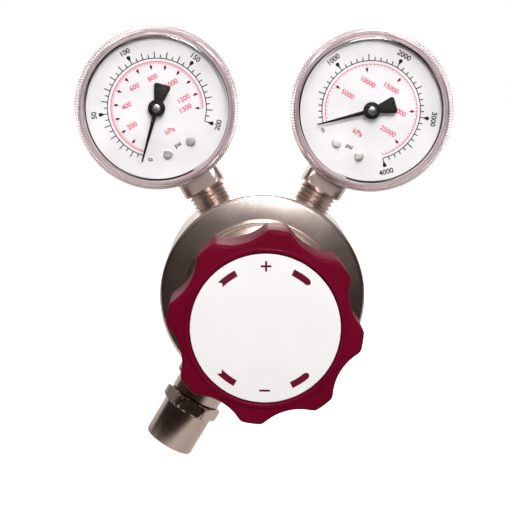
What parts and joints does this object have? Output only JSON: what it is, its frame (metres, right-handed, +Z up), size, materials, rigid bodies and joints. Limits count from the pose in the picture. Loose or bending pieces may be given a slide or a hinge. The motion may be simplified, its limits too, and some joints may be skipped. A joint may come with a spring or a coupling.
{
  "type": "gas regulator",
  "caption": "Diaphragm gas regulator: round plated body and bonnet, lobed adjusting knob, two dial gauges on angled stems and a relief valve.",
  "frame": {"origin": "centre of the body's rear flat face", "axes": "+Y out of the rear face, so the knob and dials face -Y; +Z up between the two gauges; +X to the inlet port"},
  "size_m": [0.1218, 0.0918, 0.144],
  "materials": {
    "nickel_plate": "satin, nickel plated brass",
    "stainless": "machined",
    "spring_steel": "drawn wire",
    "brass": "machined",
    "bronze": "matt",
    "seat_polymer": "matt",
    "black_rubber": "matt",
    "knob_plastic": "semi gloss",
    "white_label": "printed, smooth",
    "white_enamel": "matt",
    "black_enamel": "matt",
    "clear_window": "clear, knurled edge"
  },
  "bodies": {
    "regulator": {"body": "nickel_plate", "bonnet": "nickel_plate", "delivery_gauge_bourdon_tube": "bronze", "delivery_gauge_case": "stainless", "delivery_gauge_dial": "white_enamel", "delivery_gauge_dial_screw_left": "stainless", "delivery_gauge_dial_screw_right": "stainless", "delivery_gauge_movement_frame": "brass", "delivery_gauge_socket": "nickel_plate", "delivery_gauge_window": "clear_window", "delivery_gauge_window_gasket": "black_rubber", "diaphragm": "stainless", "inlet_filter": "bronze", "inlet_gauge_bourdon_tube": "bronze", "inlet_gauge_case": "stainless", "inlet_gauge_dial": "white_enamel", "inlet_gauge_dial_screw_left": "stainless", "inlet_gauge_dial_screw_right": "stainless", "inlet_gauge_movement_frame": "brass", "inlet_gauge_socket": "nickel_plate", "inlet_gauge_window": "clear_window", "inlet_gauge_window_gasket": "black_rubber", "poppet_spring": "spring_steel", "range_spring": "spring_steel", "relief_adjuster": "stainless", "relief_body": "nickel_plate", "relief_cap": "nickel_plate", "relief_spring": "spring_steel", "screw_bushing": "brass", "seat_nozzle": "brass", "slip_ring": "brass", "valve_seat": "seat_polymer"},
    "knob_assembly": {"knob": "knob_plastic", "knob_label": "white_label", "knob_screw": "stainless", "adjusting_screw": "stainless"},
    "thrust": {"thrust_ball": "stainless", "spring_button": "stainless"},
    "diaphragm_plate": {"diaphragm_plate": "brass"},
    "poppet": {"poppet": "stainless"},
    "relief_poppet": {"relief_poppet": "stainless", "relief_seal": "black_rubber"},
    "inlet_gauge_sector": {"inlet_gauge_sector_gear": "brass"},
    "inlet_gauge_link": {"inlet_gauge_link": "brass"},
    "inlet_gauge_pointer": {"inlet_gauge_pointer": "black_enamel", "inlet_gauge_pinion_arbor": "stainless"},
    "delivery_gauge_sector": {"delivery_gauge_sector_gear": "brass"},
    "delivery_gauge_link": {"delivery_gauge_link": "brass"},
    "delivery_gauge_pointer": {"delivery_gauge_pointer": "black_enamel", "delivery_gauge_pinion_arbor": "stainless"}
  },
  "joints": [
    {"name": "knob_turn", "type": "hinge", "parent": "thrust", "child": "knob_assembly", "pos_m": [0, -0.09, 0], "axis": [0, 1, 0], "range_deg": [0, 1440]},
    {"name": "screw_advance", "type": "slide", "parent": "regulator", "child": "thrust", "axis": [0, 1, 0], "range_m": [0, 0.006], "deforming": ["range_spring"]},
    {"name": "diaphragm_stroke", "type": "slide", "parent": "regulator", "child": "diaphragm_plate", "axis": [0, 1, 0], "range_m": [0, 0.0005], "stiffness_N_per_m": 2000, "deforming": ["diaphragm"]},
    {"name": "poppet_stroke", "type": "slide", "parent": "regulator", "child": "poppet", "axis": [0, 1, 0], "range_m": [0, 0.0005], "deforming": ["poppet_spring"]},
    {"name": "relief_lift", "type": "slide", "parent": "regulator", "child": "relief_poppet", "axis": [-0.5, 0, -0.866], "range_m": [0, 0.0015], "stiffness_N_per_m": 1500, "deforming": ["relief_spring"]},
    {"name": "inlet_gauge_sector_turn", "type": "hinge", "parent": "regulator", "child": "inlet_gauge_sector", "pos_m": [0.0345, -0.023, 0.04896], "axis": [0, -1, 0], "range_deg": [0, 33.75], "stiffness_Nm_per_rad": 0.004, "deforming": ["inlet_gauge_bourdon_tube"]},
    {"name": "inlet_gauge_pointer_turn", "type": "hinge", "parent": "regulator", "child": "inlet_gauge_pointer", "pos_m": [0.0345, -0.023, 0.05976], "axis": [0, 1, 0], "range_deg": [0, 270]},
    {"name": "inlet_gauge_link_swing", "type": "hinge", "parent": "inlet_gauge_sector", "child": "inlet_gauge_link", "pos_m": [0.03836, -0.023, 0.04436], "axis": [0, 1, 0], "range_deg": [0, 33.75]},
    {"name": "delivery_gauge_sector_turn", "type": "hinge", "parent": "regulator", "child": "delivery_gauge_sector", "pos_m": [-0.02515, -0.023, 0.05436], "axis": [0, -1, 0], "range_deg": [0, 33.75], "stiffness_Nm_per_rad": 0.004, "deforming": ["delivery_gauge_bourdon_tube"]},
    {"name": "delivery_gauge_pointer_turn", "type": "hinge", "parent": "regulator", "child": "delivery_gauge_pointer", "pos_m": [-0.0345, -0.023, 0.05976], "axis": [0, 1, 0], "range_deg": [0, 270]},
    {"name": "delivery_gauge_link_swing", "type": "hinge", "parent": "delivery_gauge_sector", "child": "delivery_gauge_link", "pos_m": [-0.01924, -0.023, 0.0554], "axis": [0, 1, 0], "range_deg": [0, 33.75]}
  ],
  "couplings": [
    {"joint": "knob_turn", "follows": "screw_advance", "rad_per_m": 4188.8},
    {"joint": "poppet_stroke", "follows": "diaphragm_stroke", "ratio": 1},
    {"joint": "inlet_gauge_pointer_turn", "follows": "inlet_gauge_sector_turn", "ratio": 8},
    {"joint": "inlet_gauge_link_swing", "follows": "inlet_gauge_sector_turn", "ratio": 1},
    {"joint": "delivery_gauge_pointer_turn", "follows": "delivery_gauge_sector_turn", "ratio": 8},
    {"joint": "delivery_gauge_link_swing", "follows": "delivery_gauge_sector_turn", "ratio": 1}
  ]
}
